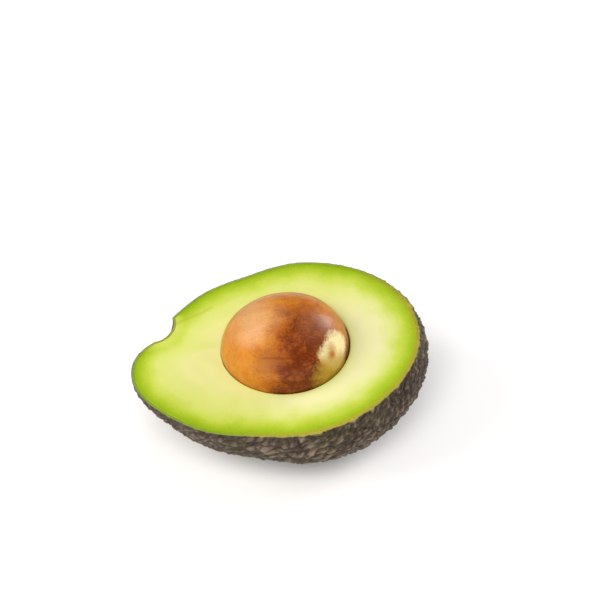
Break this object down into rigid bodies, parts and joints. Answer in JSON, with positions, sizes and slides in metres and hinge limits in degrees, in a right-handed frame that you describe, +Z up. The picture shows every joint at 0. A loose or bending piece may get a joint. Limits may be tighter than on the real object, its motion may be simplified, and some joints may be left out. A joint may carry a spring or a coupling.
{
  "type": "halved avocado",
  "caption": "Half of an avocado cut lengthwise, with dark pebbled peel, a flat face of soft flesh and the seed sitting in its hollow, lying on its rounded back.",
  "frame": {"origin": "on the surface the half lies on, under the middle of its bounding box", "axes": "+X along the fruit towards its blossom end, +Z up; the cut face looks up and leans a little towards -Y and -X"},
  "size_m": [0.1002, 0.0746, 0.0541],
  "materials": {
    "peel": "dark grey-brown avocado peel, pebbled, satin",
    "flesh": "moist avocado flesh, lime green at the peel and pale yellow in the middle",
    "seed": "orange-brown avocado seed with a smooth, mottled seed coat"
  },
  "bodies": {
    "root": {"peel": "peel", "flesh": "flesh", "seed": "seed"}
  },
  "joints": []
}
